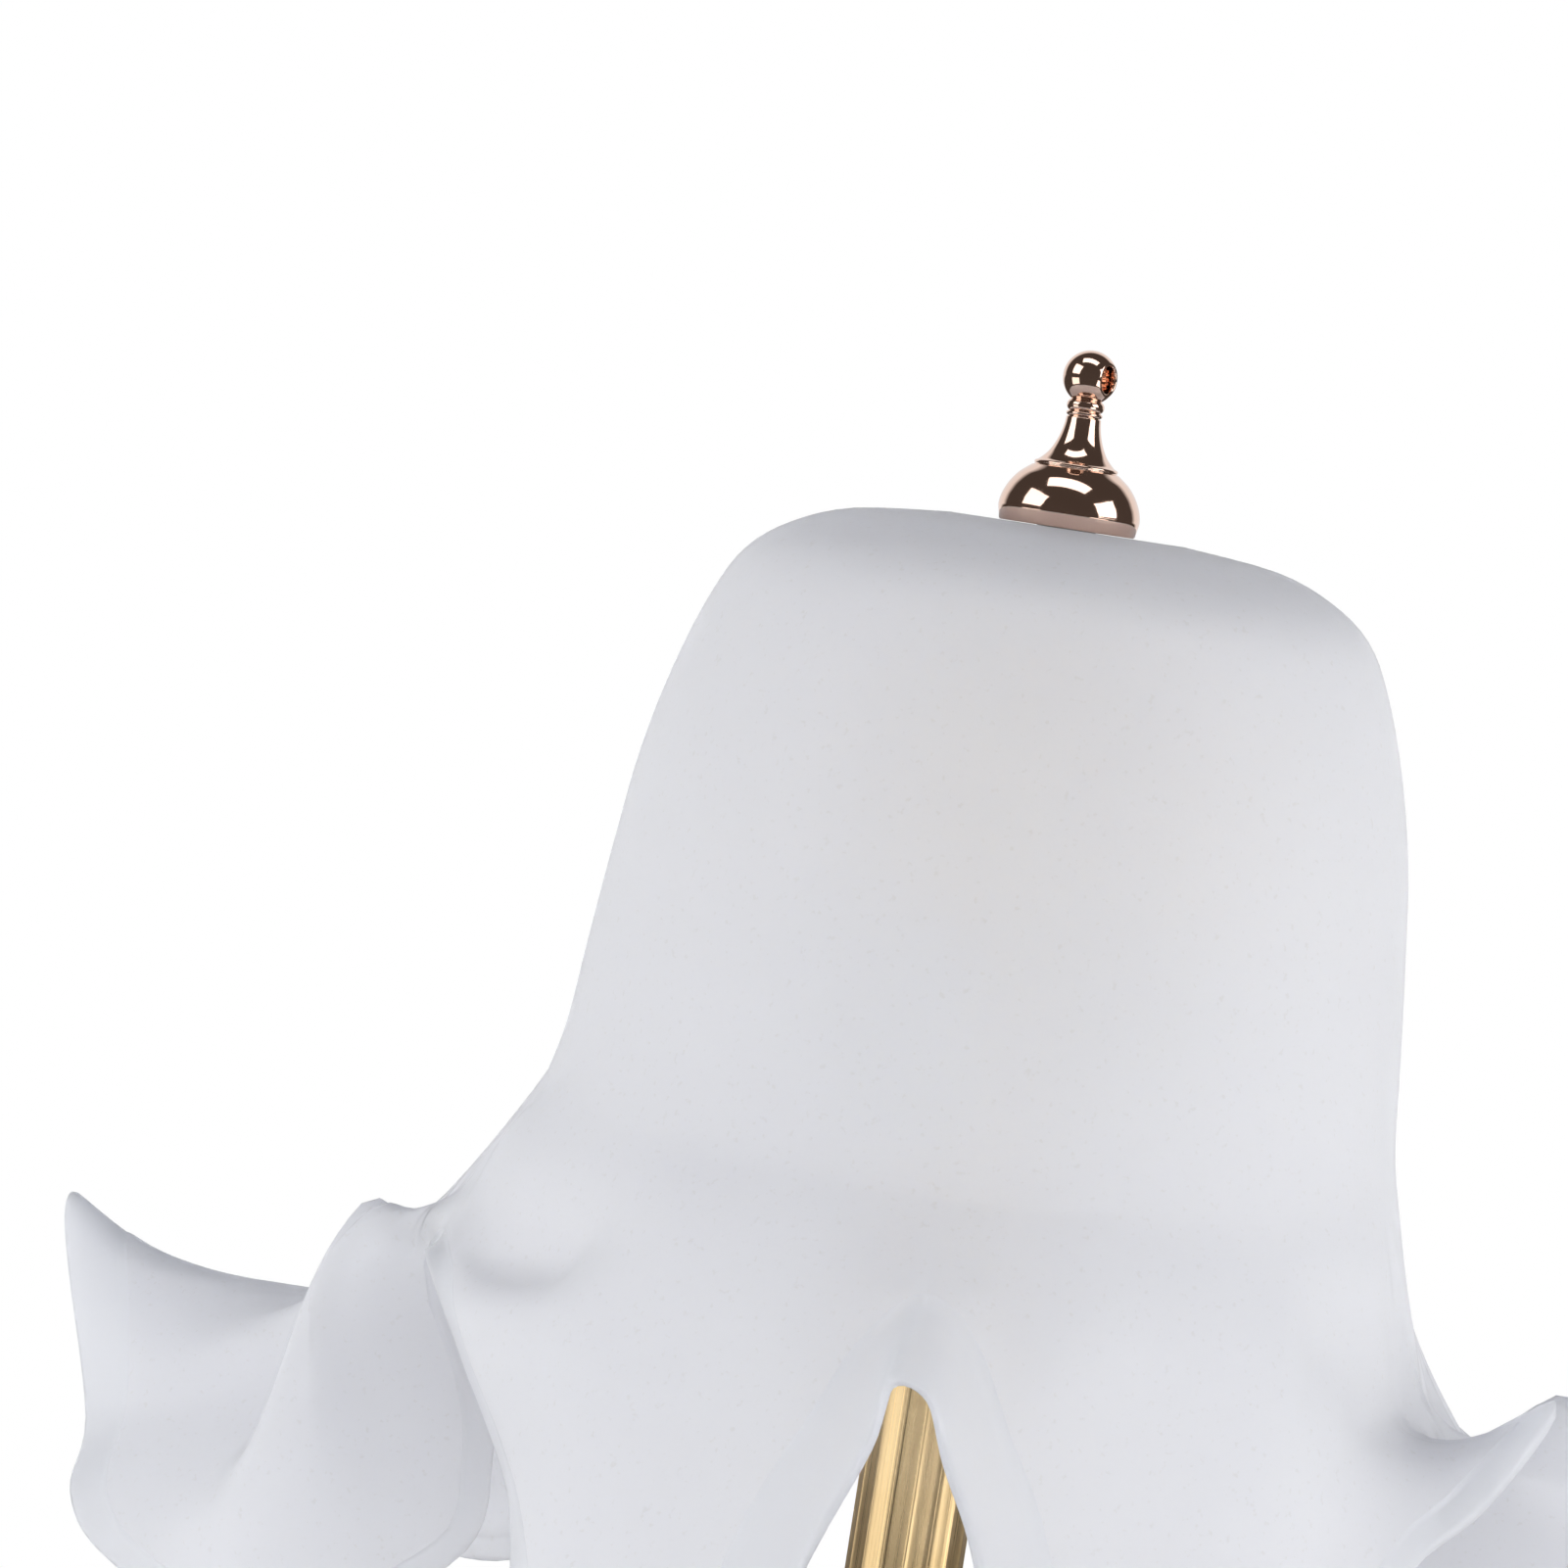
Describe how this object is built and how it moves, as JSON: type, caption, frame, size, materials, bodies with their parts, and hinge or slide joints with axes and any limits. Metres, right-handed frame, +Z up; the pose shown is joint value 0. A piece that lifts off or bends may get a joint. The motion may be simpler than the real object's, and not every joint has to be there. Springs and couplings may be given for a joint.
{
  "type": "bedside lamp",
  "caption": "Bedside lamp with a mouth-down flower shade in frosted glass on a fluted brass column, with a loop finial and a round weighted base.",
  "frame": {"origin": "centre of the base pad's underside, where the stem's axis meets the table", "axes": "+Z up the stem, -Y the front, where a notch between two petals shows the column, +X to the right"},
  "size_m": [0.3391, 0.2851, 0.4504],
  "materials": {
    "felt": "dense wool felt",
    "cast_iron": "painted casting",
    "satin_brass": "brushed, clear lacquered",
    "zinc_steel": "bright zinc plate",
    "wire_sleeve": "smooth sleeve",
    "ceramic": "unglazed white ceramic",
    "bulb_cover": "milky cover",
    "silicone": "translucent silicone",
    "frosted_glass": "white satin, slumped, with ground edges",
    "rose_gold": "polished rose gold plate",
    "black_nylon": "moulded nylon"
  },
  "bodies": {
    "lamp": {"base_pad": "felt", "base_weight": "cast_iron", "base_cover": "satin_brass", "rod_nut": "zinc_steel", "rod_washer": "zinc_steel", "threaded_rod": "zinc_steel", "stem_wires": "wire_sleeve", "column_foot": "satin_brass", "column": "satin_brass", "column_cap": "satin_brass", "cluster_body": "satin_brass", "cluster_nut": "zinc_steel", "holder_nuts": "zinc_steel", "lampholder_cup_1": "satin_brass", "lampholder_cup_2": "satin_brass", "lampholder_cup_3": "satin_brass", "lamp_socket_1": "ceramic", "lamp_socket_2": "ceramic", "lamp_socket_3": "ceramic", "rest_plate": "satin_brass", "rest_nut": "zinc_steel", "lower_gasket": "silicone", "dimmer_body": "zinc_steel", "dimmer_nut": "zinc_steel", "inlet_bush": "black_nylon"},
    "glass_shade": {"shade": "frosted_glass"},
    "finial_gasket": {"upper_gasket": "silicone"},
    "finial_cap": {"finial": "rose_gold"},
    "dimmer_control": {"dimmer_shaft": "zinc_steel", "dimmer_knob": "satin_brass"},
    "capsule_bulb_1": {"bulb_1": "bulb_cover"},
    "capsule_bulb_2": {"bulb_2": "bulb_cover"},
    "capsule_bulb_3": {"bulb_3": "bulb_cover"}
  },
  "joints": [
    {"name": "shade_lift", "type": "slide", "parent": "lamp", "child": "glass_shade", "axis": [0, 0, 1], "range_m": [0, 0.22]},
    {"name": "finial_rise", "type": "slide", "parent": "glass_shade", "child": "finial_gasket", "axis": [0, 0, 1], "range_m": [0, 0.0066]},
    {"name": "finial_turn", "type": "hinge", "parent": "finial_gasket", "child": "finial_cap", "pos_m": [0, 0, 0.42], "axis": [0, 0, 1], "range_deg": [0, 2340]},
    {"name": "dimmer_turn", "type": "hinge", "parent": "lamp", "child": "dimmer_control", "pos_m": [0, -0.058, 0.02], "axis": [0, 0, -1], "range_deg": [0, 270]},
    {"name": "bulb_1_pull", "type": "slide", "parent": "lamp", "child": "capsule_bulb_1", "axis": [0, 0, -1], "range_m": [0, 0.012]},
    {"name": "bulb_2_pull", "type": "slide", "parent": "lamp", "child": "capsule_bulb_2", "axis": [0, 0, -1], "range_m": [0, 0.012]},
    {"name": "bulb_3_pull", "type": "slide", "parent": "lamp", "child": "capsule_bulb_3", "axis": [0, 0, -1], "range_m": [0, 0.012]}
  ],
  "couplings": [
    {"joint": "finial_rise", "follows": "finial_turn", "m_per_rad": 0.00015915}
  ]
}
